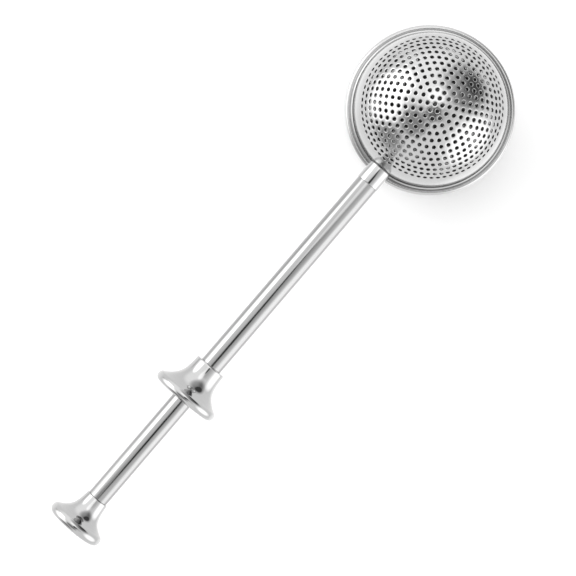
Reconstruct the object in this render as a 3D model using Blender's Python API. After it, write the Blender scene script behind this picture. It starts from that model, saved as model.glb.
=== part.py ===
"""Tea strainer: a perforated ball on a push handle, in metres, +Z up.

Pushing the thumb knob slides the push tube into the outer tube. The slotted drive nut in the push
tube's front end runs along a twisted strip, which turns the moving bowl half a turn about the handle's
axis. The moving bowl then lies inside the front bowl and the ball is open. A coil spring closes it.

The handle runs along X with the ball at +X. The origin lies under the middle of the whole strainer,
level with its lowest point. Each piece is modelled around the ball's centre, on the axis on which the
push tube slides and the moving bowl turns.
"""
import math

import bmesh
import bpy
from mathutils import Matrix, Vector
from mathutils.geometry import delaunay_2d_cdt

MM = 0.001

# Ball
BALL_RADIUS = 24.0 * MM
FRONT_WALL = 0.5 * MM
MOVING_WALL = 0.4 * MM
BOWL_CLEARANCE = 0.4 * MM        # between the two bowls, all over
SKIRT_MARGIN = 1.2 * MM          # a bowl's metal past its pivot holes
HOLE_RADIUS = 0.65 * MM
HOLE_STEP = math.radians(11.2)   # between rows of holes, from the pole
HOLE_ROWS = 6
HOLE_SIDES = 6
BOWL_SIDES = 48
PLAIN_RINGS = 4                  # rings that keep the plain part of a bowl round

# Rim
BEAD_RADIUS = 0.83 * MM
BEAD_STEP = 1.7 * MM             # from the ball's surface to the middle of the bead
BEAD_SIDES = 10

# Handle
COLLAR_LENGTH = 4.75 * MM
COLLAR_OVERLAP = 1.28 * MM       # how far the collar reaches over the bead
COLLAR_STEP = 0.21 * MM          # the collar stands out from the tube by this much
COLLAR_ROUNDING = 1.2 * MM
COLLAR_PLUG_LENGTH = 5.0 * MM
TUBE_RADIUS = 3.6 * MM
TUBE_WALL = 0.18 * MM
TUBE_SHOWN = 74.6 * MM           # between the collar and the grip
PUSH_TUBE_WALL = 0.42 * MM
PUSH_TUBE_SHOWN = 40.45 * MM     # between the grip and the knob, at rest
STROKE = 30.0 * MM
HANDLE_SIDES = 32

# Finger grip and thumb knob
GRIP_LENGTH = 13.65 * MM
GRIP_END_WALL = 0.6 * MM         # the outer tube stops this far inside the grip
GRIP_NECK_WALL = 1.55 * MM
GRIP_TAPER = 0.5 * MM
GRIP_FLARE_POWER = 4.0
GRIP_DISC_RADIUS = 11.15 * MM
GRIP_LIP_RADIUS = 1.65 * MM
KNOB_LENGTH = 12.15 * MM
KNOB_STEP = 0.38 * MM            # the knob's neck stands out from the push tube by this much
KNOB_TAPER = 1.1 * MM
KNOB_FLARE_POWER = 4.5
KNOB_DISC_RADIUS = 9.45 * MM
KNOB_LIP_RADIUS = 1.85 * MM
KNOB_PLUG_LENGTH = 8.0 * MM
LIP_START = math.radians(-62)    # the lip's arc begins this far before its widest point
FLARE_STEPS = 8
LIP_STEPS = 8

# Drive
SHAFT_RADIUS = 1.2 * MM
SHAFT_REACH = 5.0 * MM           # past the collar's plug
SHAFT_SLOT_DEPTH = 3.0 * MM
SHAFT_SIDES = 16
HEAD_STEP = 0.8 * MM             # the heads of the shaft and the pin stand out by this much
HEAD_THICKNESS = 0.8 * MM
WASHER_STEP = 0.6 * MM           # the washer stands out from the shaft's head by this much
WASHER_THICKNESS = 0.6 * MM
PIN_RADIUS = 0.8 * MM
STRIP_INSET = 0.1 * MM           # from the shaft's surface to the strip's edge
STRIP_THICKNESS = 0.6 * MM
STRIP_TAIL = 0.6 * MM            # how far the strip shows behind its stop
STRIP_STEP = 1.2 * MM            # between the strip's cross-sections
NUT_PLATE = 1.2 * MM
NUT_SLEEVE_LENGTH = 3.0 * MM
NUT_SLEEVE_WALL = 0.95 * MM
STOP_THICKNESS = 0.8 * MM
TURN = math.pi                   # the moving bowl's turn over the whole stroke

# Return spring
SPRING_WIRE_RADIUS = 0.35 * MM
SPRING_TURNS = 16
SPRING_SLACK = 1.1               # its length, pushed in all the way, over its solid length
SPRING_POINTS_PER_TURN = 10

# Fits
SEAT_GAP = 0.3 * MM              # between faces that meet end to end
RUN_CLEARANCE = 0.1 * MM         # radial, shafts and pins in their holes
PLUG_CLEARANCE = 0.1 * MM        # radial, plugs in tubes and the grip on its tube
SLIDE_CLEARANCE = 0.05 * MM      # radial, push tube in outer tube
SLOT_CLEARANCE = 0.15 * MM       # each side of the strip in the nut
KEY_CLEARANCE = 0.1 * MM         # each side of the strip in the shaft and the stop

# Radii that follow
MOVING_RADIUS = BALL_RADIUS - FRONT_WALL - BOWL_CLEARANCE
MOVING_INNER_RADIUS = MOVING_RADIUS - MOVING_WALL
BEAD_CENTRE_RADIUS = BALL_RADIUS + BEAD_STEP
RIM_RADIUS = BEAD_CENTRE_RADIUS + BEAD_RADIUS
FLANGE_RADIUS = BEAD_CENTRE_RADIUS - BEAD_RADIUS - SEAT_GAP
SHAFT_HOLE_RADIUS = SHAFT_RADIUS + RUN_CLEARANCE
PIN_HOLE_RADIUS = PIN_RADIUS + RUN_CLEARANCE
HEAD_RADIUS = SHAFT_RADIUS + HEAD_STEP
WASHER_RADIUS = HEAD_RADIUS + WASHER_STEP
PIN_HEAD_RADIUS = PIN_RADIUS + HEAD_STEP
COLLAR_RADIUS = TUBE_RADIUS + COLLAR_STEP
TUBE_BORE = TUBE_RADIUS - TUBE_WALL
PUSH_TUBE_RADIUS = TUBE_BORE - SLIDE_CLEARANCE
PUSH_TUBE_BORE = PUSH_TUBE_RADIUS - PUSH_TUBE_WALL
PUSH_PLUG_RADIUS = PUSH_TUBE_BORE - PLUG_CLEARANCE
GRIP_NECK_RADIUS = TUBE_RADIUS + GRIP_NECK_WALL
KNOB_NECK_RADIUS = PUSH_TUBE_RADIUS + KNOB_STEP
NUT_SLEEVE_RADIUS = PUSH_PLUG_RADIUS - NUT_SLEEVE_WALL
STOP_RADIUS = (NUT_SLEEVE_RADIUS + PUSH_TUBE_BORE) / 2
SPRING_RADIUS = (SHAFT_RADIUS + TUBE_BORE) / 2
STRIP_WIDTH = 2 * (SHAFT_RADIUS - STRIP_INSET)

# Places that follow: heights from the ball's centre, and distances behind it along the handle
SKIRT = SHAFT_HOLE_RADIUS + SKIRT_MARGIN
BEAD_HEIGHT = -SKIRT - FRONT_WALL / 2
WASHER_BACK = math.sqrt(MOVING_INNER_RADIUS ** 2 - WASHER_RADIUS ** 2) - SEAT_GAP
HEAD_BACK = WASHER_BACK - WASHER_THICKNESS - SEAT_GAP
COLLAR_FRONT = RIM_RADIUS - COLLAR_OVERLAP
COLLAR_BACK = COLLAR_FRONT + COLLAR_LENGTH
PLUG_END = COLLAR_BACK + COLLAR_PLUG_LENGTH
SHAFT_BACK = PLUG_END + SHAFT_REACH
TUBE_FRONT = COLLAR_BACK + SEAT_GAP
GRIP_FRONT = TUBE_FRONT + TUBE_SHOWN
GRIP_BACK = GRIP_FRONT + GRIP_LENGTH
TUBE_BACK = GRIP_BACK - GRIP_END_WALL
KNOB_FRONT = GRIP_BACK + PUSH_TUBE_SHOWN
KNOB_BACK = KNOB_FRONT + KNOB_LENGTH
SPRING_CLOSED_LENGTH = SPRING_SLACK * SPRING_TURNS * 2 * SPRING_WIRE_RADIUS
NUT_FRONT = PLUG_END + 2 * SEAT_GAP + SPRING_CLOSED_LENGTH + STROKE
PUSH_TUBE_FRONT = NUT_FRONT + NUT_PLATE + SEAT_GAP
STOP_FRONT = PUSH_TUBE_FRONT + NUT_SLEEVE_LENGTH + SEAT_GAP
STOP_BACK = STOP_FRONT + STOP_THICKNESS
BALL_CENTRE = Vector(((KNOB_BACK - RIM_RADIUS) / 2, 0, MOVING_RADIUS))


def steel(name, tone, roughness):
    material = bpy.data.materials.new(name)
    material.use_nodes = True
    shader = material.node_tree.nodes["Principled BSDF"]
    shader.inputs["Base Color"].default_value = (tone, tone, tone, 1)
    shader.inputs["Metallic"].default_value = 1
    shader.inputs["Roughness"].default_value = roughness
    material.diffuse_color = (tone, tone, tone, 1)
    return material


def add_object(name, data, tone=0.75, roughness=0.2):
    piece = bpy.data.objects.new(name, data)
    piece.location = BALL_CENTRE
    data.materials.append(steel(name + "_steel", tone, roughness))
    bpy.context.scene.collection.objects.link(piece)
    return piece


def mesh_object(name, bm, **look):
    """Makes an object of the finished bmesh, smooth except at its corners."""
    bmesh.ops.recalc_face_normals(bm, faces=bm.faces)
    mesh = bpy.data.meshes.new(name)
    bm.to_mesh(mesh)
    bm.free()
    mesh.shade_smooth()
    mesh.set_sharp_from_angle(angle=math.radians(35))
    return add_object(name, mesh, **look)


def turned(name, outline, sides=HANDLE_SIDES, **look):
    """Turns a closed outline about the handle's axis. Its points are (distance behind the ball's
    centre, radius)."""
    bm = bmesh.new()
    points = [bm.verts.new((-distance, 0, radius)) for distance, radius in outline]
    edges = []
    for here, after in zip(points, points[1:] + points[:1]):
        if here.co.z > 0 or after.co.z > 0:
            edges.append(bm.edges.new((here, after)))
    bmesh.ops.spin(bm, geom=points + edges, axis=(1, 0, 0), cent=(0, 0, 0), angle=2 * math.pi, steps=sides)
    bmesh.ops.remove_doubles(bm, verts=bm.verts, dist=0.001 * MM)
    return mesh_object(name, bm, **look)


def cut(piece, size, centre, turn=0.0):
    """Cuts a box out of a piece. The box is turned about the handle's axis."""
    bm = bmesh.new()
    bmesh.ops.create_cube(bm, size=1)
    bmesh.ops.scale(bm, vec=size, verts=bm.verts)
    bmesh.ops.translate(bm, vec=centre, verts=bm.verts)
    bmesh.ops.rotate(bm, matrix=Matrix.Rotation(turn, 3, "X"), verts=bm.verts)
    cutter = mesh_object(piece.name + "_cutter", bm)
    cutter.hide_render = True
    cutter.display_type = "WIRE"
    boolean = piece.modifiers.new("cut", "BOOLEAN")
    boolean.solver = "EXACT"
    boolean.object = cutter


def hole_loops(radius):
    """The perforations and the two pivot holes as loops of (arc length from the pole, turn)."""
    loops = [[(HOLE_RADIUS, 2 * math.pi * i / HOLE_SIDES) for i in range(HOLE_SIDES)]]
    for row in range(1, HOLE_ROWS + 1):
        polar = row * HOLE_STEP
        for i in range(6 * row):
            turn = 2 * math.pi * i / (6 * row)
            loops.append(loop_at(radius * polar, turn, radius * math.sin(polar), HOLE_RADIUS, HOLE_SIDES))
    equator = radius * math.pi / 2
    loops.append(loop_at(equator, math.pi, radius, SHAFT_HOLE_RADIUS, SHAFT_SIDES))
    loops.append(loop_at(equator, 0, radius, PIN_HOLE_RADIUS, SHAFT_SIDES))
    return loops


def loop_at(along, turn, axis_distance, radius, sides):
    """A round hole on the bowl, whose centre is at an arc length, a turn and a distance from the axis."""
    angles = [2 * math.pi * i / sides for i in range(sides)]
    return [(along + radius * math.cos(a), turn + radius * math.sin(a) / axis_distance) for a in angles]


def flat(along, turn):
    """Lays a point of the bowl out on the plane, where its surface is meshed."""
    return Vector((along * math.cos(turn), along * math.sin(turn)))


def ring(along):
    return [(along, 2 * math.pi * i / BOWL_SIDES) for i in range(BOWL_SIDES)]


def bowl_surface(radius, corners):
    """Meshes the perforated surface flat. corners are the arc lengths of the rings that bound it or
    fold it. Returns its points and its triangles."""
    loops = hole_loops(radius)
    holes = [flat(*point) for loop in loops for point in loop]
    faces = []
    for loop in loops:
        start = faces[-1][-1] + 1 if faces else 0
        faces.append(list(range(start, start + len(loop))))
    points = list(holes)
    edges = []
    for along in corners:
        start = len(points)
        points += [flat(*point) for point in ring(along)]
        edges += [(start + i, start + (i + 1) % BOWL_SIDES) for i in range(BOWL_SIDES)]
    first = radius * (HOLE_ROWS + 0.6) * HOLE_STEP
    for i in range(PLAIN_RINGS):
        along = first + (radius * math.pi / 2 - first) * i / (PLAIN_RINGS - 1)
        for place in (flat(*point) for point in ring(along)):
            if min((place - hole).length for hole in holes) > SHAFT_RADIUS:
                points.append(place)
    places, _, triangles, _, _, holes_of = delaunay_2d_cdt(points, edges, faces, 0, 1e-7)
    return places, [triangle for triangle, hole in zip(triangles, holes_of) if not hole]


def bowl(name, radius, wall, section, corners, **look):
    """Makes a perforated bowl, pole up. section gives the (radius, height) at an arc length from the
    pole, on the outside for depth 0 and on the inside for depth wall."""
    places, triangles = bowl_surface(radius, corners)

    def placed(place, depth):
        across, height = section(place.length, depth)
        turn = math.atan2(place.y, place.x)
        return across * math.cos(turn), across * math.sin(turn), height

    bm = bmesh.new()
    outside = [bm.verts.new(placed(place, 0)) for place in places]
    inside = [bm.verts.new(placed(place, wall)) for place in places]
    partner = dict(zip(outside, inside))
    for triangle in triangles:
        bm.faces.new([outside[i] for i in triangle])
    for edge in [edge for edge in bm.edges if edge.is_boundary]:
        a, b = edge.verts
        bm.faces.new((a, b, partner[b], partner[a]))
    for triangle in triangles:
        bm.faces.new([inside[i] for i in reversed(triangle)])
    bmesh.ops.delete(bm, geom=[vert for vert in bm.verts if not vert.link_faces], context="VERTS")
    return mesh_object(name, bm, **look)


def front_section(along, depth):
    """The front bowl: a dome, a cylindrical skirt and a flange."""
    equator = BALL_RADIUS * math.pi / 2
    if along <= equator:
        polar = along / BALL_RADIUS
        return (BALL_RADIUS - depth) * math.sin(polar), (BALL_RADIUS - depth) * math.cos(polar)
    down = min(along - equator, SKIRT)
    out = along - equator - down
    flange = FLANGE_RADIUS - BALL_RADIUS
    return BALL_RADIUS - depth + out * (flange + depth) / flange, -down * (SKIRT + depth) / SKIRT


def moving_section(along, depth):
    """The moving bowl: part of a sphere a little larger than half."""
    polar = along / MOVING_RADIUS
    return (MOVING_RADIUS - depth) * math.sin(polar), (MOVING_RADIUS - depth) * math.cos(polar)


def front_bowl():
    corner = BALL_RADIUS * math.pi / 2 + SKIRT
    corners = (corner, corner + FLANGE_RADIUS - BALL_RADIUS)
    bowl("front_bowl", BALL_RADIUS, FRONT_WALL, front_section, corners)


def moving_bowl():
    edge = MOVING_RADIUS * (math.pi / 2 + math.asin(SKIRT / MOVING_RADIUS))
    piece = bowl("moving_bowl", MOVING_RADIUS, MOVING_WALL, moving_section, (edge,))
    piece.data.transform(Matrix.Rotation(math.pi, 4, "X"))


def rim_ring():
    """The round bead that is rolled over the front bowl's flange."""
    bm = bmesh.new()
    angles = [2 * math.pi * i / BEAD_SIDES for i in range(BEAD_SIDES)]
    points = [bm.verts.new((BEAD_CENTRE_RADIUS + BEAD_RADIUS * math.cos(a), 0,
                            BEAD_HEIGHT + BEAD_RADIUS * math.sin(a))) for a in angles]
    edges = [bm.edges.new((here, after)) for here, after in zip(points, points[1:] + points[:1])]
    bmesh.ops.spin(bm, geom=points + edges, axis=(0, 0, 1), cent=(0, 0, 0), angle=2 * math.pi,
                   steps=BOWL_SIDES)
    bmesh.ops.remove_doubles(bm, verts=bm.verts, dist=0.001 * MM)
    mesh_object("rim_ring", bm)


def arc(distance, radius, arc_radius, start, end, steps):
    """Points on an arc round (distance, radius). Angle 0 points away from the axis, 90 degrees
    away from the ball."""
    angles = [start + (end - start) * i / steps for i in range(steps + 1)]
    return [(distance + arc_radius * math.sin(a), radius + arc_radius * math.cos(a)) for a in angles]


def neck_collar():
    """A plug that closes the tube's front end, grips the rim and is the drive shaft's bearing."""
    rounding = arc(COLLAR_FRONT + COLLAR_ROUNDING, COLLAR_RADIUS - COLLAR_ROUNDING, COLLAR_ROUNDING,
                   -math.pi / 2, 0, 4)
    plug_radius = TUBE_BORE - PLUG_CLEARANCE
    collar = turned("neck_collar", [(COLLAR_FRONT, SHAFT_HOLE_RADIUS), *rounding,
                                    (COLLAR_BACK, COLLAR_RADIUS), (COLLAR_BACK, plug_radius),
                                    (PLUG_END, plug_radius), (PLUG_END, SHAFT_HOLE_RADIUS)])
    top = BEAD_HEIGHT + BEAD_RADIUS + SEAT_GAP
    length = 2 * (COLLAR_OVERLAP + SEAT_GAP)
    height = 2 * COLLAR_RADIUS
    cut(collar, (length, height, height), (-COLLAR_FRONT, 0, top - height / 2))


def tube(name, front, back, radius, bore):
    turned(name, [(front, bore), (front, radius), (back, radius), (back, bore)])


def flared(front, back, neck, taper, power, disc, lip):
    """The outside of a trumpet: a neck that widens to a disc with a round lip, front to back."""
    rounding = arc(back - lip, disc - lip, lip, LIP_START, math.pi / 2, LIP_STEPS)
    end, end_radius = rounding[0]
    swell = end_radius - neck - taper
    shares = [i / FLARE_STEPS for i in range(FLARE_STEPS)]
    return [(front + (end - front) * t, neck + taper * t + swell * t ** power) for t in shares] + rounding


def finger_grip():
    bore = TUBE_RADIUS + PLUG_CLEARANCE
    outside = flared(GRIP_FRONT, GRIP_BACK, GRIP_NECK_RADIUS, GRIP_TAPER, GRIP_FLARE_POWER,
                     GRIP_DISC_RADIUS, GRIP_LIP_RADIUS)
    turned("finger_grip", [(GRIP_FRONT, bore), *outside, (GRIP_BACK, bore)])


def thumb_knob():
    outside = flared(KNOB_FRONT, KNOB_BACK, KNOB_NECK_RADIUS, KNOB_TAPER, KNOB_FLARE_POWER,
                     KNOB_DISC_RADIUS, KNOB_LIP_RADIUS)
    plug_front = KNOB_FRONT - KNOB_PLUG_LENGTH
    turned("thumb_knob", [(plug_front, 0), (plug_front, PUSH_PLUG_RADIUS), (KNOB_FRONT, PUSH_PLUG_RADIUS),
                          *outside, (KNOB_BACK, 0)])


def strip_angle(distance):
    """The strip's turn about the axis. It is flat where the nut's plate is at rest, turns evenly
    over the nut's travel and runs straight into the drive shaft."""
    rest = NUT_FRONT + NUT_PLATE / 2
    straight = NUT_FRONT - STROKE - NUT_PLATE
    return TURN * (max(distance, straight) - rest) / STROKE


def drive_nut():
    """A plate whose slot turns the strip, with a sleeve that plugs into the push tube."""
    plate_back = NUT_FRONT + NUT_PLATE
    back = PUSH_TUBE_FRONT + NUT_SLEEVE_LENGTH
    nut = turned("drive_nut", [(NUT_FRONT, 0), (NUT_FRONT, PUSH_TUBE_RADIUS), (plate_back, PUSH_TUBE_RADIUS),
                               (plate_back, PUSH_PLUG_RADIUS), (back, PUSH_PLUG_RADIUS),
                               (back, NUT_SLEEVE_RADIUS), (plate_back, NUT_SLEEVE_RADIUS), (plate_back, 0)])
    slot = (4 * NUT_PLATE, STRIP_WIDTH + 2 * SLOT_CLEARANCE, STRIP_THICKNESS + 2 * SLOT_CLEARANCE)
    cut(nut, slot, (-NUT_FRONT, 0, 0))


def drive_shaft():
    """A headed shaft, from inside the moving bowl through the collar to the strip."""
    head_front = HEAD_BACK - HEAD_THICKNESS
    shaft = turned("drive_shaft", [(head_front, 0), (head_front, HEAD_RADIUS), (HEAD_BACK, HEAD_RADIUS),
                                   (HEAD_BACK, SHAFT_RADIUS), (SHAFT_BACK, SHAFT_RADIUS), (SHAFT_BACK, 0)],
                   sides=SHAFT_SIDES, roughness=0.3)
    slot = (2 * SHAFT_SLOT_DEPTH, 3 * SHAFT_RADIUS, STRIP_THICKNESS + 2 * KEY_CLEARANCE)
    cut(shaft, slot, (-SHAFT_BACK, 0, 0), strip_angle(SHAFT_BACK))


def hub_washer():
    """Spreads the shaft's head over the moving bowl's wall."""
    tube("hub_washer", WASHER_BACK - WASHER_THICKNESS, WASHER_BACK, WASHER_RADIUS, SHAFT_HOLE_RADIUS)


def far_pivot_pin():
    """A headed pin in the front bowl's wall, on which the moving bowl's far side turns."""
    head = math.sqrt(MOVING_INNER_RADIUS ** 2 - PIN_HEAD_RADIUS ** 2) - SEAT_GAP
    end = head - HEAD_THICKNESS
    turned("far_pivot_pin", [(-BALL_RADIUS, 0), (-BALL_RADIUS, PIN_RADIUS), (-head, PIN_RADIUS),
                             (-head, PIN_HEAD_RADIUS), (-end, PIN_HEAD_RADIUS), (-end, 0)],
           sides=SHAFT_SIDES)


def twist_strip():
    """A flat strip, twisted evenly over the nut's travel."""
    front = SHAFT_BACK - SHAFT_SLOT_DEPTH + SEAT_GAP
    back = STOP_BACK + STRIP_TAIL
    steps = round((back - front) / STRIP_STEP)
    half_width, half_thickness = STRIP_WIDTH / 2, STRIP_THICKNESS / 2
    corners = [(-half_width, -half_thickness), (half_width, -half_thickness),
               (half_width, half_thickness), (-half_width, half_thickness)]
    bm = bmesh.new()
    sections = []
    for i in range(steps + 1):
        distance = front + (back - front) * i / steps
        turn = Matrix.Rotation(strip_angle(distance), 3, "X")
        sections.append([bm.verts.new(turn @ Vector((-distance, y, z))) for y, z in corners])
    for here, after in zip(sections, sections[1:]):
        for i in range(4):
            bm.faces.new((here[i], here[i - 1], after[i - 1], after[i]))
    bm.faces.new(sections[0])
    bm.faces.new(sections[-1])
    mesh_object("twist_strip", bm, roughness=0.3)


def strip_stop():
    """A clip on the strip's end that keeps the push tube from coming out."""
    stop = turned("strip_stop", [(STOP_FRONT, 0), (STOP_FRONT, STOP_RADIUS), (STOP_BACK, STOP_RADIUS),
                                 (STOP_BACK, 0)], sides=SHAFT_SIDES)
    slot = (4 * STOP_THICKNESS, STRIP_WIDTH + 2 * KEY_CLEARANCE, STRIP_THICKNESS + 2 * KEY_CLEARANCE)
    middle = (STOP_FRONT + STOP_BACK) / 2
    cut(stop, slot, (-middle, 0, 0), strip_angle(middle))


def return_spring():
    """A round-wire coil between the collar's plug and the drive nut."""
    start = PLUG_END + SEAT_GAP + SPRING_WIRE_RADIUS
    length = NUT_FRONT - SEAT_GAP - SPRING_WIRE_RADIUS - start
    curve = bpy.data.curves.new("return_spring", "CURVE")
    curve.dimensions = "3D"
    curve.bevel_depth = SPRING_WIRE_RADIUS
    curve.bevel_resolution = 1
    curve.use_fill_caps = True
    spline = curve.splines.new("POLY")
    count = SPRING_TURNS * SPRING_POINTS_PER_TURN
    spline.points.add(count)
    for i, point in enumerate(spline.points):
        turn = 2 * math.pi * i / SPRING_POINTS_PER_TURN
        place = (-start - length * i / count, SPRING_RADIUS * math.cos(turn), SPRING_RADIUS * math.sin(turn))
        point.co = (*place, 1)
    add_object("return_spring", curve, roughness=0.3)


def main():
    for old in list(bpy.data.objects):
        bpy.data.objects.remove(old)
    front_bowl()
    rim_ring()
    far_pivot_pin()
    neck_collar()
    tube("outer_tube", TUBE_FRONT, TUBE_BACK, TUBE_RADIUS, TUBE_BORE)
    finger_grip()
    tube("push_tube", PUSH_TUBE_FRONT, KNOB_FRONT - SEAT_GAP, PUSH_TUBE_RADIUS, PUSH_TUBE_BORE)
    thumb_knob()
    drive_nut()
    moving_bowl()
    drive_shaft()
    hub_washer()
    twist_strip()
    strip_stop()
    return_spring()


main()
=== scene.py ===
"""Looks for the tea strainer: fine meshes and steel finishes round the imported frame, in metres, +Z up.

The handle runs along X with the ball at +X. Turned pieces are outlines of (distance behind the ball's
centre, radius) spun about the handle's axis, and the bowls and the rim are made round the ball's
upright axis. Places and overall sizes come from the frame's nodes.
"""
import math

import bmesh
import bpy
import numpy as np
from mathutils import Matrix, Vector
from mathutils.geometry import delaunay_2d_cdt

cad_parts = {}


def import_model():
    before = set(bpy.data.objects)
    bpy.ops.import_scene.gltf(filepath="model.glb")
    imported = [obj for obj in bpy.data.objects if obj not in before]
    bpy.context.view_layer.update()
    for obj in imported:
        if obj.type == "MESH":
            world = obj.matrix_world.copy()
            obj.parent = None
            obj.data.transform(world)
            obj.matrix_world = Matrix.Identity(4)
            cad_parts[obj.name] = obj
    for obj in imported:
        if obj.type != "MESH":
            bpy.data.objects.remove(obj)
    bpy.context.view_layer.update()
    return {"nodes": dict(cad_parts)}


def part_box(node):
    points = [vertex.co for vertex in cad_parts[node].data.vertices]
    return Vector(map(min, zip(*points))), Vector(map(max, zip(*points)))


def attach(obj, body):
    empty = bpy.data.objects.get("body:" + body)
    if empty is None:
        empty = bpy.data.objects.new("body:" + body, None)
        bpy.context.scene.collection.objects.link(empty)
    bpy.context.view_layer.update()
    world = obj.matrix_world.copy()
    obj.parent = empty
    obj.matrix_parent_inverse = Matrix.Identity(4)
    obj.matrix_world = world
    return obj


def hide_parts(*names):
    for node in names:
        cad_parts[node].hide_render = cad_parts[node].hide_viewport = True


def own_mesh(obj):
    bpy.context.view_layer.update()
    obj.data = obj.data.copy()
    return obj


MM = 0.001

# Perforated bowls
WALL = 0.4 * MM
HOLE_RADIUS = 0.64 * MM
HOLE_EDGE = 0.09 * MM             # width and depth of a hole's rounded edge
EDGE_SHARE = 0.3                  # of the hole's edge, at the middle of its rounding
ROUNDED_STEPS = 3                 # from the dimple into the hole, in the outside's steel
DIMPLE_RADIUS = 0.9 * MM          # the sheet is drawn in slightly from here to the hole
DIMPLE_DEPTH = 0.02 * MM
HOLE_STEP = math.radians(5.4)     # between rows of holes, from the pole
HOLE_ROWS = 12
WHOLE_ROWS = 10                   # rows with six holes more than the one before
LATE_HOLES = 4                    # more holes in each row after those
HOLE_SIDES = 12
PIVOT_SIDES = 32
PIVOT_CLEARANCE = 0.1 * MM
PIVOT_EDGE = 1.5 * HOLE_EDGE      # of the flat rim round a pivot hole
BOWL_SIDES = 180
PLAIN_STEP = 1.1 * MM             # between rings of points on the plain part of a bowl
PLAIN_START = 0.55                # steps of holes from the last row to the first ring
RING_SPACE = 0.2                  # of a plain step, kept free beside a ring that is asked for
HOLE_SPACE = 0.6 * MM             # kept free of ring points round a dimple's points
FLANGE_LENGTH = 0.4 * MM          # of the front bowl's flange, inside the bead

# Rim
FILLET = 0.9 * MM                 # between the front bowl's skirt and the bead
FILLET_STEPS = 6
LIP_RADIUS = 0.24 * MM            # the edge of the rolled sheet, outside and under the bead
LIP_DROP = 0.45 * MM
RIM_SIDES = 240

# Handle
HANDLE_SIDES = 128
EDGE = 0.12 * MM                  # rounding of turned edges
SEAM = 0.03 * MM                  # between pieces that are pressed together
FIT = 0.05 * MM                   # radial, between a bore and what is in it
COLLAR_ROUNDING = 0.6 * MM
NOSE_STEPS = 16
NOSE_REACH = 1.5 * MM             # the collar comes this much further forward than its solid
BALL_SEAT_STEPS = 24              # of the hollow where the collar lies on the ball
TUBE_WALL = 0.18 * MM
PUSH_TUBE_WALL = 0.42 * MM
KNOB_GAP = 0.3 * MM               # between the push tube's end and the knob's neck in the solids

# Finger grip and thumb knob: taper and power of the neck's flare, and radius of the lip
GRIP_NECK_RADIUS = 5.15 * MM
GRIP_FLARE = (0.5 * MM, 4.0, 1.65 * MM)
KNOB_NECK_RADIUS = 3.75 * MM
KNOB_FLARE = (1.1 * MM, 4.5, 1.85 * MM)
LIP_START = math.radians(-62)
FLARE_STEPS = 40
LIP_STEPS = 32

# Inside
SHAFT_RADIUS = 1.2 * MM
SHAFT_DOME = 0.35 * MM            # height of the shaft's rounded head
DOME_STEPS = 12
PIN_RADIUS = 0.8 * MM
PIN_HEAD = 0.8 * MM
SMALL_SIDES = 48
WASHER_SIDES = 64
WIRE_RADIUS = 0.35 * MM
WIRE_SIDES = 10
SPRING_TURNS = 16
STEPS_PER_TURN = 28

# Meshing
SAME_PLACE = 0.0005 * MM          # points as near as this become one
ON_AXIS = 0.001 * MM
AT_EDGE = 0.01 * MM
SHARP = math.radians(50)          # edges that turn by more than this look sharp
CUT_SHARP = math.radians(40)
ALL_TRIANGLES = 0                 # what delaunay_2d_cdt gives back
FLAT_TOLERANCE = 1e-7

# Steel: where each noise counts, from and to, and its scale in features per metre
USUAL = (0.3, 0.7)
GRAIN_SPAN = (0.35, 0.65)
PATCH_SPAN = (0.35, 0.7)
SMUDGE_SPAN = (0.45, 0.75)
SCRATCH_SPAN = (0.66, 0.72)
GRAIN_SCALE = 900
PATCH_SCALE = 70
SMUDGE_SCALE = 260
SCRATCH_SCALE = 160
SCRATCHES = ((0.5, 26), (1.4, 34), (2.5, 30))    # turn, and how much closer across than along
PATCH_TONE = 0.96                 # of the steel's tone in its darkest patches
GRAIN_TONE = 0.965
GRAIN_SHARE = 0.2                 # of the roughness, up or down with the grain
SCRATCH_ROUGHNESS = 0.08

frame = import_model()


def low(node):
    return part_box(node)[0]


def high(node):
    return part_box(node)[1]


def radius_of(node):
    return (high(node).y - low(node).y) / 2


RIM_MIDDLE = (low("rim_ring") + high("rim_ring")) / 2
AXIS_HEIGHT = (low("push_tube").z + high("push_tube").z) / 2
BALL = Vector((RIM_MIDDLE.x, 0, AXIS_HEIGHT))


def front_of(node):
    """How far behind the ball's centre a node begins."""
    return BALL.x - high(node).x


def back_of(node):
    """How far behind the ball's centre a node ends."""
    return BALL.x - low(node).x


BALL_RADIUS = high("front_bowl").z - BALL.z
MOVING_RADIUS = BALL.z - low("moving_bowl").z
MOVING_SKIRT = high("moving_bowl").z - BALL.z
RIM_RADIUS = radius_of("rim_ring")
BEAD_RADIUS = (high("rim_ring").z - low("rim_ring").z) / 2
BEAD_HEIGHT = RIM_MIDDLE.z - BALL.z
FRONT_SKIRT = -BEAD_HEIGHT - WALL / 2


# ---------------------------------------------------------------- materials

def node_at(tree, kind, **inputs):
    """Adds a shader node. An input is a socket to link or a value to set."""
    node = tree.nodes.new(kind)
    for name, value in inputs.items():
        socket = node.inputs[int(name[1:])] if name[0] == "i" and name[1:].isdigit() else node.inputs[name]
        if isinstance(value, bpy.types.NodeSocket):
            tree.links.new(value, socket)
        else:
            socket.default_value = value
    return node


def maths(tree, operation, a, b):
    node = node_at(tree, "ShaderNodeMath", i0=a, i1=b)
    node.operation = operation
    return node.outputs[0]


def spread(tree, value, span, low_result, high_result):
    """Maps a value from a span, (from, to), to the results at its two ends, and keeps it between them."""
    node = node_at(tree, "ShaderNodeMapRange", Value=value)
    node.inputs["From Min"].default_value, node.inputs["From Max"].default_value = span
    node.inputs["To Min"].default_value = low_result
    node.inputs["To Max"].default_value = high_result
    return node.outputs[0]


def grey(tree, value):
    return node_at(tree, "ShaderNodeCombineColor", Red=value, Green=value, Blue=value).outputs[0]


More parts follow.
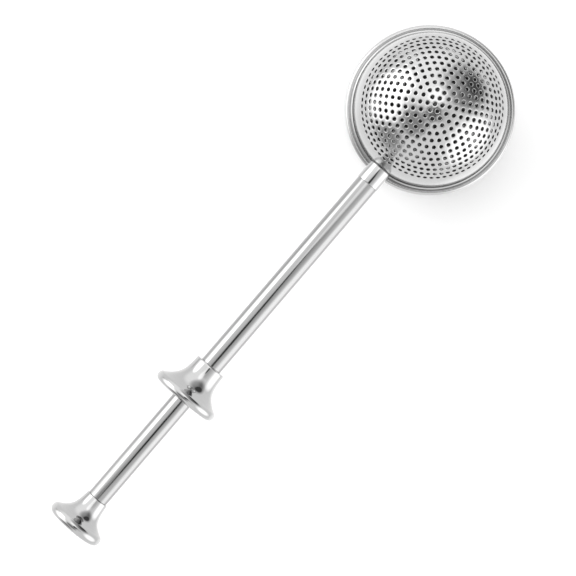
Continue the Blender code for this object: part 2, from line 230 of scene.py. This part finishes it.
def noise(tree, place, scale, detail=2.0, roughness=0.5, stretch=(1, 1, 1), turn=(0, 0, 0)):
    """Noise in the piece's own space, scale in features per metre, stretched and turned."""
    mapping = node_at(tree, "ShaderNodeMapping", Vector=place, Rotation=turn, Scale=stretch)
    node = node_at(tree, "ShaderNodeTexNoise", Vector=mapping.outputs[0], Scale=scale, Detail=detail,
                   Roughness=roughness)
    return node.outputs[0]


def steel(name, tone, roughness, grain, waves, dull):
    """Stainless steel with a fine grain left by polishing, soft waves in the sheet, hairline scratches
    and duller handled patches. grain is (stretch, depth in metres), waves is (scale, depth in metres) and
    dull is how much rougher the dullest patches are."""
    material = bpy.data.materials.new(name)
    material.use_nodes = True
    tree = material.node_tree
    shader = tree.nodes["Principled BSDF"]
    shader.inputs["Metallic"].default_value = 1
    place = tree.nodes.new("ShaderNodeTexCoord").outputs["Object"]
    stretch, grain_depth = grain
    wave_scale, wave_depth = waves

    fine = noise(tree, place, GRAIN_SCALE, 3, 0.6, stretch)
    patches = noise(tree, place, PATCH_SCALE, 4, 0.55)
    smudges = noise(tree, place, SMUDGE_SCALE, 3, 0.6)
    wave = noise(tree, place, wave_scale, 2, 0.4)
    scratched = 0
    for turn, closeness in SCRATCHES:
        lines = noise(tree, place, SCRATCH_SCALE, 1, 0.5, (1, closeness, closeness), (turn, turn / 2, turn))
        scratched = maths(tree, "MAXIMUM", scratched, spread(tree, lines, SCRATCH_SPAN, 0, 1))

    tint = spread(tree, patches, USUAL, PATCH_TONE, 1)
    shade = maths(tree, "MULTIPLY", tint, spread(tree, fine, USUAL, GRAIN_TONE, 1))
    tree.links.new(grey(tree, maths(tree, "MULTIPLY", shade, tone)), shader.inputs["Base Color"])

    rough = maths(tree, "ADD", spread(tree, patches, PATCH_SPAN, roughness, roughness + dull),
                  spread(tree, smudges, SMUDGE_SPAN, 0, dull / 2))
    swing = GRAIN_SHARE * roughness
    rough = maths(tree, "ADD", rough, spread(tree, fine, GRAIN_SPAN, -swing, swing))
    rough = maths(tree, "ADD", rough, maths(tree, "MULTIPLY", scratched, SCRATCH_ROUGHNESS))
    tree.links.new(rough, shader.inputs["Roughness"])

    height = maths(tree, "MULTIPLY", fine, grain_depth)
    height = maths(tree, "ADD", height, maths(tree, "MULTIPLY", wave, wave_depth))
    height = maths(tree, "SUBTRACT", height, maths(tree, "MULTIPLY", scratched, grain_depth / 2))
    bump = node_at(tree, "ShaderNodeBump", Height=height, Strength=1.0, Distance=1.0)
    tree.links.new(bump.outputs[0], shader.inputs["Normal"])
    return material


def make_steels():
    """The record's slots, and the steel inside the bowls: rougher unpolished steel, near-black as painted
    shade inside the ball.
    """
    round_the_axis = (6, 0.5, 0.5)
    along_the_axis = (0.04, 2.5, 2.5)
    even = (1, 1, 1)
    looks = {   # tone, roughness, (grain's stretch and depth), (waves' scale and depth), dullness
        "bowl_steel": (0.55, 0.13, (even, 0.3e-6), (420, 7e-6), 0.07),
        # inside of the bowls: rougher unpolished steel, with a near-black tone that is painted shade inside
        # the ball
        "bowl_inside_painted_shade": (0.1, 0.36, (even, 1e-6), (420, 9e-6), 0.08),
        "rim_steel": (0.55, 0.12, (even, 0.6e-6), (150, 6e-6), 0.08),
        "tube_steel": (0.38, 0.08, (along_the_axis, 0.4e-6), (60, 5e-6), 0.06),
        "polished_steel": (0.5, 0.035, (round_the_axis, 0.12e-6), (90, 3e-6), 0.03),
        "inner_steel": (0.5, 0.3, (round_the_axis, 1.2e-6), (120, 4e-6), 0.1),
    }
    return {name: steel(name, *look) for name, look in looks.items()}


# ---------------------------------------------------------------- pieces

def finish_piece(name, bm, body, slot, replaced, inside=None):
    """Makes a piece of the bmesh. Faces of material index 1 take the inside's steel."""
    mesh = bpy.data.meshes.new(name)
    bm.to_mesh(mesh)
    bm.free()
    mesh.shade_smooth()
    mesh.set_sharp_from_angle(angle=SHARP)
    mesh.materials.append(steels[slot])
    if inside:
        mesh.materials.append(steels[inside])
    piece = bpy.data.objects.new(name, mesh)
    bpy.context.scene.collection.objects.link(piece)
    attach(piece, body)
    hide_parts(*replaced)
    return piece


def spun(points, axis, centre, sides):
    """Spins a closed outline of points about an axis. Points on the axis may follow each other."""
    def off_axis(point):
        arm = point.co - Vector(centre)
        return (arm - Vector(axis) * arm.dot(Vector(axis))).length > ON_AXIS

    bm = bmesh.new()
    verts = [bm.verts.new(point) for point in points]
    edges = []
    for here, after in zip(verts, verts[1:] + verts[:1]):
        if off_axis(here) or off_axis(after):
            edges.append(bm.edges.new((here, after)))
    bmesh.ops.spin(bm, geom=verts + edges, axis=axis, cent=centre, angle=2 * math.pi, steps=sides)
    bmesh.ops.remove_doubles(bm, verts=bm.verts, dist=SAME_PLACE)
    bmesh.ops.recalc_face_normals(bm, faces=bm.faces)
    return bm


def turned(outline, sides=HANDLE_SIDES):
    """Spins an outline of (distance behind the ball's centre, radius) about the handle's axis."""
    points = [(BALL.x - distance, 0, BALL.z + radius) for distance, radius in outline]
    return spun(points, (1, 0, 0), BALL, sides)


def wheeled(outline, sides=BOWL_SIDES):
    """Spins an outline of (radius, height over the ball's centre) about the ball's upright axis."""
    points = [(BALL.x + radius, 0, BALL.z + height) for radius, height in outline]
    return spun(points, (0, 0, 1), BALL, sides)


def arc(distance, radius, arc_radius, start, end, steps):
    """Points on an arc round (distance, radius). Angle 0 points away from the axis, and 90 degrees
    away from the ball."""
    angles = [start + (end - start) * i / steps for i in range(steps + 1)]
    return [(distance + arc_radius * math.sin(a), radius + arc_radius * math.cos(a)) for a in angles]


def corner(distance, radius, towards, size=EDGE, steps=4):
    """A rounded corner of a turned outline, front (-1) or back (1) of a piece, outside."""
    start, end = (-math.pi / 2, 0) if towards < 0 else (0, math.pi / 2)
    return arc(distance - towards * size, radius - size, size, start, end, steps)


def tube_outline(front, back, radius, bore):
    """A tube's outline, with its outer edges rounded."""
    return [(front, bore), *corner(front, radius, -1, EDGE / 2), *corner(back, radius, 1, EDGE / 2),
            (back, bore)]


# ---------------------------------------------------------------- bowls

def loop_at(along, turn, axis_distance, radius, sides):
    """A round loop on a bowl, as (arc length from the pole, turn), at a distance from the axis."""
    angles = [2 * math.pi * i / sides for i in range(sides)]
    if axis_distance == 0:
        return [(radius, a) for a in angles]
    return [(along + radius * math.cos(a), turn + radius * math.sin(a) / axis_distance) for a in angles]


def holes_of(radius):
    """The perforations and the two pivot holes: (arc length, turn, distance from the axis, radius,
    radius of its dimple, sides)."""
    holes = [(0, 0, 0, HOLE_RADIUS, DIMPLE_RADIUS, HOLE_SIDES)]
    for row in range(1, HOLE_ROWS + 1):
        polar = row * HOLE_STEP
        late = max(0, row - WHOLE_ROWS)
        count = 6 * (row - late) + LATE_HOLES * late
        first = 0.5 if late else 0
        for i in range(count):
            turn = 2 * math.pi * (i + first) / count
            holes.append((radius * polar, turn, radius * math.sin(polar), HOLE_RADIUS, DIMPLE_RADIUS,
                          HOLE_SIDES))
    equator = radius * math.pi / 2
    for turn, pivot in ((math.pi, SHAFT_RADIUS), (0, PIN_RADIUS)):
        pivot += PIVOT_CLEARANCE
        holes.append((equator, turn, radius, pivot, pivot + PIVOT_EDGE, PIVOT_SIDES))
    return holes


def flat(along, turn):
    """A place on the bowl laid out flat round its pole."""
    return along * math.cos(turn), along * math.sin(turn)


def ring(along):
    """Points all the way round the flat bowl."""
    return [flat(along, 2 * math.pi * i / BOWL_SIDES) for i in range(BOWL_SIDES)]


def bowl_surface(radius, holes, corners, end):
    """Meshes the perforated surface laid out flat. Returns its points, its triangles and the point at
    each place of each hole's loop."""
    points = []
    faces = []
    for along, turn, axis_distance, _, dimple, sides in holes:
        faces.append(list(range(len(points), len(points) + sides)))
        points += [flat(*place) for place in loop_at(along, turn, axis_distance, dimple, sides)]
    taken = np.array(points)
    edges = []
    for along in corners:
        edges += [(len(points) + i, len(points) + (i + 1) % BOWL_SIDES) for i in range(BOWL_SIDES)]
        points += ring(along)
    first = radius * (HOLE_ROWS + PLAIN_START) * HOLE_STEP
    count = math.ceil((end - first) / PLAIN_STEP)
    for i in range(count):
        along = first + (end - first) * i / count
        if min(abs(along - corner_along) for corner_along in corners) < RING_SPACE * PLAIN_STEP:
            continue
        for place in ring(along):
            if np.hypot(*(taken - place).T).min() > HOLE_SPACE:
                points.append(place)
    places, _, triangles, origins, _, faces_of = delaunay_2d_cdt(
        [Vector(point) for point in points], edges, faces, ALL_TRIANGLES, FLAT_TOLERANCE)
    index = {origin: i for i, found in enumerate(origins) for origin in found}
    loops = [[index[i] for i in face] for face in faces]
    return places, [t for t, hole in zip(triangles, faces_of) if not hole], loops


def bowl(radius, section, corners, end):
    """Makes a perforated bowl, pole up. section gives (radius, height) at an arc length and depth."""
    def placed(along, turn, depth):
        across, height = section(along, depth)
        return BALL + Vector((across * math.cos(turn), across * math.sin(turn), height))

    holes = holes_of(radius)
    places, triangles, loops = bowl_surface(radius, holes, corners, end)
    polar = [(place.length, math.atan2(place.y, place.x)) for place in places]
    bm = bmesh.new()
    outside = [bm.verts.new(placed(along, turn, 0)) for along, turn in polar]
    inside = [bm.verts.new(placed(along, turn, WALL)) for along, turn in polar]
    for triangle in triangles:
        bm.faces.new([outside[i] for i in triangle])
        face = bm.faces.new([inside[i] for i in reversed(triangle)])
        face.material_index = 1
    for (along, turn, axis_distance, hole, _, sides), loop in zip(holes, loops):
        steps = [(hole + HOLE_EDGE, DIMPLE_DEPTH),
                 (hole + EDGE_SHARE * HOLE_EDGE, EDGE_SHARE * HOLE_EDGE + DIMPLE_DEPTH),
                 (hole, HOLE_EDGE + DIMPLE_DEPTH), (hole, WALL - HOLE_EDGE / 2)]
        chain = [[outside[i] for i in loop]]
        for size, depth in steps:
            around = loop_at(along, turn, axis_distance, size, sides)
            chain.append([bm.verts.new(placed(*place, depth)) for place in around])
        chain.append([inside[i] for i in loop])
        for step, (here, after) in enumerate(zip(chain, chain[1:])):
            for i in range(sides):
                face = bm.faces.new((here[i - 1], here[i], after[i], after[i - 1]))
                # past their rounded edge the holes' walls take the inside's near-black steel, painted shade
                face.material_index = 0 if step < ROUNDED_STEPS else 1
    close_edge(bm, outside, inside, polar, end)
    bmesh.ops.delete(bm, geom=[vert for vert in bm.verts if not vert.link_faces], context="VERTS")
    bmesh.ops.recalc_face_normals(bm, faces=bm.faces)
    return bm


def close_edge(bm, outside, inside, polar, end):
    """Joins the bowl's outer and inner edges."""
    at_end = [i for i, (along, _) in enumerate(polar) if abs(along - end) < AT_EDGE]
    at_end.sort(key=lambda i: polar[i][1])
    for here, after in zip(at_end, at_end[1:] + at_end[:1]):
        bm.faces.new((outside[here], outside[after], inside[after], inside[here]))


def front_section(along, depth):
    """The front bowl: a dome, a cylindrical skirt, a fillet and a flange that goes into the bead."""
    equator = BALL_RADIUS * math.pi / 2
    if along <= equator:
        polar = along / BALL_RADIUS
        return (BALL_RADIUS - depth) * math.sin(polar), (BALL_RADIUS - depth) * math.cos(polar)
    straight = FRONT_SKIRT - FILLET
    down = along - equator
    if down <= straight:
        return BALL_RADIUS - depth, -down
    angle = min((down - straight) / FILLET, math.pi / 2)
    out = max(0, down - straight - FILLET * math.pi / 2)
    reach = FILLET + depth
    return (BALL_RADIUS + FILLET - reach * math.cos(angle) + out, -straight - reach * math.sin(angle))


def moving_section(along, depth):
    """The moving bowl: part of a sphere a little larger than half."""
    polar = along / MOVING_RADIUS
    return (MOVING_RADIUS - depth) * math.sin(polar), (MOVING_RADIUS - depth) * math.cos(polar)


def front_bowl():
    """The fixed bowl, pole up, down to the flange inside the bead."""
    equator = BALL_RADIUS * math.pi / 2
    skirt_end = equator + FRONT_SKIRT - FILLET
    fillet = [skirt_end + FILLET * math.pi / 2 * i / FILLET_STEPS for i in range(FILLET_STEPS + 1)]
    end = fillet[-1] + FLANGE_LENGTH
    bm = bowl(BALL_RADIUS, front_section, [*fillet, end], end)
    finish_piece("front_bowl_sheet", bm, "handle", "bowl_steel", ["front_bowl"], "bowl_inside_painted_shade")


def moving_bowl():
    """The second bowl, pole down at rest."""
    end = MOVING_RADIUS * (math.pi / 2 + math.asin(MOVING_SKIRT / MOVING_RADIUS))
    bm = bowl(MOVING_RADIUS, moving_section, [end - PLAIN_STEP, end], end)
    bmesh.ops.rotate(bm, cent=BALL, matrix=Matrix.Rotation(math.pi, 3, "X"), verts=bm.verts)
    finish_piece("moving_bowl_sheet", bm, "turning_bowl", "bowl_steel", ["moving_bowl"], "bowl_inside_painted_shade")


def rim():
    """The bead rolled from the bowl's edge, with the edge of the sheet showing as a thin lip."""
    bead_middle = RIM_RADIUS - BEAD_RADIUS - LIP_RADIUS / 2
    lip_middle = RIM_RADIUS - LIP_RADIUS
    round_bead = [(bead_middle + BEAD_RADIUS * math.cos(a), BEAD_HEIGHT + BEAD_RADIUS * math.sin(a))
                  for a in (math.radians(angle) for angle in range(-10, 271, 10))]
    lip = [(lip_middle + LIP_RADIUS * math.cos(a), BEAD_HEIGHT - LIP_DROP + LIP_RADIUS * math.sin(a))
           for a in (math.radians(angle) for angle in range(-90, 91, 15))]
    finish_piece("rolled_rim", wheeled(round_bead + lip, RIM_SIDES), "handle", "rim_steel", ["rim_ring"])


# ---------------------------------------------------------------- handle

def cut(piece, cutter_bm):
    """Cuts a closed shape out of a piece and keeps the result as its mesh."""
    mesh = bpy.data.meshes.new("cutter")
    cutter_bm.to_mesh(mesh)
    cutter_bm.free()
    cutter = bpy.data.objects.new("cutter", mesh)
    bpy.context.scene.collection.objects.link(cutter)
    boolean = piece.modifiers.new("cut", "BOOLEAN")
    boolean.solver = "EXACT"
    boolean.object = cutter
    bpy.context.view_layer.update()
    evaluated = piece.evaluated_get(bpy.context.evaluated_depsgraph_get())
    result = bpy.data.meshes.new_from_object(evaluated)
    piece.modifiers.clear()
    piece.data = result
    bpy.data.objects.remove(cutter)
    result.set_sharp_from_angle(angle=CUT_SHARP)


def collar():
    """The rounded plug that grips the rim, hollowed to lie on the ball and notched over the bead."""
    front, back = front_of("neck_collar") - NOSE_REACH, back_of("neck_collar")
    radius = radius_of("neck_collar")
    shoulder = front_of("outer_tube") - SEAM
    bore = SHAFT_RADIUS + FIT
    plug = radius_of("outer_tube") - TUBE_WALL - FIT
    nose = corner(front, radius, -1, COLLAR_ROUNDING, NOSE_STEPS)
    outline = [(front, bore), *nose, *corner(shoulder, radius, 1, EDGE), (shoulder, plug), (back, plug),
               (back, bore)]
    piece = finish_piece("collar", turned(outline), "handle", "polished_steel", ["neck_collar"])
    ball = BALL_RADIUS + FIT
    top = BEAD_HEIGHT + BEAD_RADIUS + FIT
    over, under, inner, outer = 2 * radius, -4 * radius, ball - 3 * radius, RIM_RADIUS + FIT
    lowest, highest = math.asin(top / ball), math.asin(over / ball)
    angles = [highest + (lowest - highest) * i / BALL_SEAT_STEPS for i in range(BALL_SEAT_STEPS + 1)]
    seat = [(ball * math.cos(a), ball * math.sin(a)) for a in angles]
    cut(piece, wheeled([*seat, (outer, top), (outer, under), (inner, under), (inner, over)], RIM_SIDES))


def outer_tube():
    front, back = front_of("outer_tube"), back_of("outer_tube")
    radius = radius_of("outer_tube")
    finish_piece("handle_tube", turned(tube_outline(front, back, radius, radius - TUBE_WALL)), "handle",
                 "tube_steel", ["outer_tube"])


def push_tube():
    front, back = front_of("push_tube"), knob_front() - SEAM
    radius = radius_of("push_tube")
    finish_piece("sliding_tube", turned(tube_outline(front, back, radius, radius - PUSH_TUBE_WALL)),
                 "plunger", "tube_steel", ["push_tube"])


def knob_front():
    """How far behind the ball's centre the knob's neck begins, just behind the push tube's end."""
    return back_of("push_tube") + KNOB_GAP


def flared(front, back, neck, disc, flare):
    """The outside of a trumpet: a neck that widens to a disc with a round lip, front to back."""
    taper, power, lip = flare
    rounding = arc(back - lip, disc - lip, lip, LIP_START, math.pi / 2, LIP_STEPS)
    end, end_radius = rounding[0]
    swell = end_radius - neck - taper
    shares = [i / FLARE_STEPS for i in range(FLARE_STEPS)]
    outline = [(front + (end - front) * t, neck + taper * t + swell * t ** power) for t in shares]
    return [*corner(front, neck, -1, 2 * EDGE), *outline[1:], *rounding]


def finger_grip():
    front, back = front_of("finger_grip"), back_of("finger_grip")
    bore = radius_of("outer_tube") + SEAM
    outside = flared(front, back, GRIP_NECK_RADIUS, radius_of("finger_grip"), GRIP_FLARE)
    inner = [(back, bore + EDGE), (back - EDGE, bore)]
    finish_piece("grip_trumpet", turned([(front, bore), *outside, *inner]), "handle", "polished_steel",
                 ["finger_grip"])


def thumb_knob():
    back = back_of("thumb_knob")
    front = knob_front()
    plug_front = front_of("thumb_knob")
    plug = radius_of("push_tube") - PUSH_TUBE_WALL - FIT
    outside = flared(front, back, KNOB_NECK_RADIUS, radius_of("thumb_knob"), KNOB_FLARE)
    outline = [(plug_front, 0), (plug_front, plug), (front, plug), *outside, (back, 0)]
    finish_piece("knob_trumpet", turned(outline), "plunger", "polished_steel", ["thumb_knob"])


# ---------------------------------------------------------------- inside

def shaft():
    """The drive shaft with its domed head, from inside the moving bowl to the front of the strip."""
    head_front = front_of("drive_shaft")
    head = radius_of("drive_shaft")
    head_back = front_of("hub_washer") - SEAM
    back = front_of("twist_strip") - SEAM
    dome = [(head_front + SHAFT_DOME * (1 - math.sin(a)), head * math.cos(a))
            for a in (math.pi / 2 * (1 - i / DOME_STEPS) for i in range(DOME_STEPS + 1))]
    outline = [*dome, (head_back, head), (head_back, SHAFT_RADIUS), (back, SHAFT_RADIUS), (back, 0)]
    finish_piece("shaft_with_head", turned(outline, SMALL_SIDES), "turning_bowl", "inner_steel",
                 ["drive_shaft"])


def washer():
    front, back = front_of("hub_washer"), back_of("hub_washer")
    outline = tube_outline(front, back, radius_of("hub_washer"), SHAFT_RADIUS + FIT)
    finish_piece("shaft_washer", turned(outline, WASHER_SIDES), "turning_bowl", "inner_steel",
                 ["hub_washer"])


def pivot_pin():
    """The far pivot: a pin with a head inside the bowls."""
    front, back = front_of("far_pivot_pin"), back_of("far_pivot_pin")
    head = radius_of("far_pivot_pin")
    head_front = back - PIN_HEAD
    outline = [(front, 0), *corner(front, PIN_RADIUS, -1, 2 * EDGE), (head_front, PIN_RADIUS),
               (head_front, head), *corner(back, head, 1, 2 * EDGE), (back, 0)]
    finish_piece("pivot_pin", turned(outline, SMALL_SIDES), "handle", "inner_steel", ["far_pivot_pin"])


def spring():
    """A coil of round wire between the collar's plug and the drive nut, made at rest; the spring it stands
    for closes up as the knob is pushed."""
    start, end = front_of("return_spring"), back_of("return_spring")
    coil_radius = radius_of("return_spring") - WIRE_RADIUS
    length = end - start - 2 * WIRE_RADIUS
    steps = SPRING_TURNS * STEPS_PER_TURN
    forward = Vector((1, 0, 0))
    bm = bmesh.new()
    rings = []
    for i in range(steps + 1):
        turn = 2 * math.pi * i / STEPS_PER_TURN
        outward = Vector((0, math.cos(turn), math.sin(turn)))
        middle = BALL + coil_radius * outward - (start + WIRE_RADIUS + length * i / steps) * forward
        angles = [2 * math.pi * k / WIRE_SIDES for k in range(WIRE_SIDES)]
        arms = [WIRE_RADIUS * (math.cos(a) * outward + math.sin(a) * forward) for a in angles]
        rings.append([bm.verts.new(middle + arm) for arm in arms])
    for here, after in zip(rings, rings[1:]):
        for k in range(WIRE_SIDES):
            bm.faces.new((here[k - 1], here[k], after[k], after[k - 1]))
    bm.faces.new(rings[0])
    bm.faces.new(rings[-1])
    bmesh.ops.recalc_face_normals(bm, faces=bm.faces)
    piece = finish_piece("spring", bm, "handle", "inner_steel", ["return_spring"])
    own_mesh(piece)


def dress_inner_nodes():
    """The drive's hidden parts keep their CAD shapes and get the machined steel."""
    for name in ("drive_nut", "twist_strip", "strip_stop"):
        node = frame["nodes"][name]
        node.data.materials.clear()
        node.data.materials.append(steels["inner_steel"])


# ---------------------------------------------------------------- studio

VIEW_DISTANCE = 0.81               # camera over the ball's centre
LENS_LENGTH = 163                  # this and the sensor in mm, as Blender takes them
SENSOR = 36
NEAREST, FARTHEST = 0.01, 20       # what the camera sees
AIM = (1.4 * MM, -2.4 * MM)        # where the camera stands and looks straight down
CAMERA_TURN = math.radians(-49.42)
FLOOR_SIZE = 3                     # from its middle to its edges
FLOOR_TONES = (0.9, 0.92)
FLOOR_GLOW = 0.16
PAINTED_SHADOW_REACH = 14 * MM            # painted contact shadow: the floor's colour and glow darken where something is nearer than this
PAINTED_SHADOW_SPAN = (0.35, 0.95)        # how open the floor is, from darkest painted shadow to untouched
# tone of the floor in its darkest painted shadow
PAINTED_SHADOW_TONE = 0.05


def camera():
    """A long lens straight over the object, turned as the photograph is."""
    data = bpy.data.cameras.new("camera")
    data.lens = LENS_LENGTH
    data.sensor_width = SENSOR
    data.clip_start = NEAREST
    data.clip_end = FARTHEST
    eye = bpy.data.objects.new("camera", data)
    eye.location = (*AIM, BALL.z + VIEW_DISTANCE)
    eye.rotation_euler = (0, 0, CAMERA_TURN)
    bpy.context.scene.collection.objects.link(eye)
    bpy.context.scene.camera = eye


def floor():
    """A plain pale sheet, faintly uneven, with a painted contact shadow: its colour and glow darken where
    the object is near. It isn't seen in reflections."""
    bm = bmesh.new()
    bmesh.ops.create_grid(bm, x_segments=1, y_segments=1, size=FLOOR_SIZE)
    mesh = bpy.data.meshes.new("floor")
    bm.to_mesh(mesh)
    bm.free()
    material = bpy.data.materials.new("floor_card")
    material.use_nodes = True
    tree = material.node_tree
    shader = tree.nodes["Principled BSDF"]
    place = tree.nodes.new("ShaderNodeTexCoord").outputs["Object"]
    # painted contact shadow: ambient occlusion darkens the floor's colour and glow under and beside the
    # object
    near = node_at(tree, "ShaderNodeAmbientOcclusion", Distance=PAINTED_SHADOW_REACH).outputs["AO"]
    painted_shadow_factor = spread(tree, near, PAINTED_SHADOW_SPAN, PAINTED_SHADOW_TONE, 1)
    uneven = spread(tree, noise(tree, place, 3), USUAL, *FLOOR_TONES)
    tree.links.new(grey(tree, maths(tree, "MULTIPLY", uneven, painted_shadow_factor)), shader.inputs["Base Color"])
    shader.inputs["Roughness"].default_value = 0.9
    shader.inputs["Specular IOR Level"].default_value = 0.1
    shader.inputs["Emission Color"].default_value = (1, 1, 1, 1)
    tree.links.new(maths(tree, "MULTIPLY", painted_shadow_factor, FLOOR_GLOW), shader.inputs["Emission Strength"])
    mesh.materials.append(material)
    sheet = bpy.data.objects.new("floor", mesh)
    bpy.context.scene.collection.objects.link(sheet)
    sheet.visible_glossy = False


def direction(azimuth, zenith):
    """The unit vector at an azimuth from +X towards +Y and an angle from straight up, in degrees."""
    a, z = math.radians(azimuth), math.radians(zenith)
    return math.sin(z) * math.cos(a), math.sin(z) * math.sin(a), math.cos(z)


# Soft boxes (added) and dark flags (taken away): azimuth, angle from straight up, full inside this
# angle, none outside this angle, and strength
LAMPS = (
    (116, 74, 14, 40, 1.2),
    (92, 64, 12, 22, 1.6),
    (90, 140, 16, 28, 0.15),
    (270, 82, 2, 40, 1.2),
    (270, 146, 12, 24, 0.25),
    (40, 50, 24, 56, 0.35),
    (20, 16, 8, 16, 0.5),
    (344, 60, 14, 42, -0.92),
    (338, 76, 5, 18, -0.4),
    (168, 36, 10, 28, -0.8),
    (162, 84, 6, 28, -0.8),
    (90, 103, 3, 10, -0.3),
    (255, 8, 8, 20, -0.2),
    (270, 22, 6, 20, -0.25),
    (270, 5, 2.2, 6, -0.9),
    (305, 4.5, 2, 5.5, -0.9),
    (224, 11, 5, 12, -0.9),
)
SKY = 1.15
DARKEST = 0.08
BACKDROP = 0.95                    # where the camera sees the world itself


def world():
    """A studio of soft boxes and dark flags at fixed directions, plain and pale where it is seen."""
    studio = bpy.data.worlds.new("studio")
    studio.use_nodes = True
    bpy.context.scene.world = studio
    tree = studio.node_tree
    background = tree.nodes["Background"]
    looking = tree.nodes.new("ShaderNodeTexCoord").outputs["Generated"]
    total = SKY
    for azimuth, zenith, inner, outer, strength in LAMPS:
        dot = node_at(tree, "ShaderNodeVectorMath", i0=looking, i1=direction(azimuth, zenith))
        dot.operation = "DOT_PRODUCT"
        share = node_at(tree, "ShaderNodeMapRange", Value=dot.outputs["Value"])
        share.interpolation_type = "SMOOTHSTEP"
        share.inputs["From Min"].default_value = math.cos(math.radians(outer))
        share.inputs["From Max"].default_value = math.cos(math.radians(inner))
        total = maths(tree, "ADD", maths(tree, "MULTIPLY", share.outputs[0], strength), total)
    total = maths(tree, "MAXIMUM", total, DARKEST)
    seen = tree.nodes.new("ShaderNodeLightPath").outputs["Is Camera Ray"]
    plain = node_at(tree, "ShaderNodeMix", i0=seen, i2=total, i3=BACKDROP)
    tree.links.new(plain.outputs[0], background.inputs["Strength"])
    background.inputs["Color"].default_value = (1, 1, 1, 1)


bpy.context.scene.view_settings.view_transform = "Standard"
steels = make_steels()
camera()
world()
floor()
front_bowl()
moving_bowl()
rim()
collar()
outer_tube()
push_tube()
finger_grip()
thumb_knob()
shaft()
washer()
pivot_pin()
spring()
dress_inner_nodes()
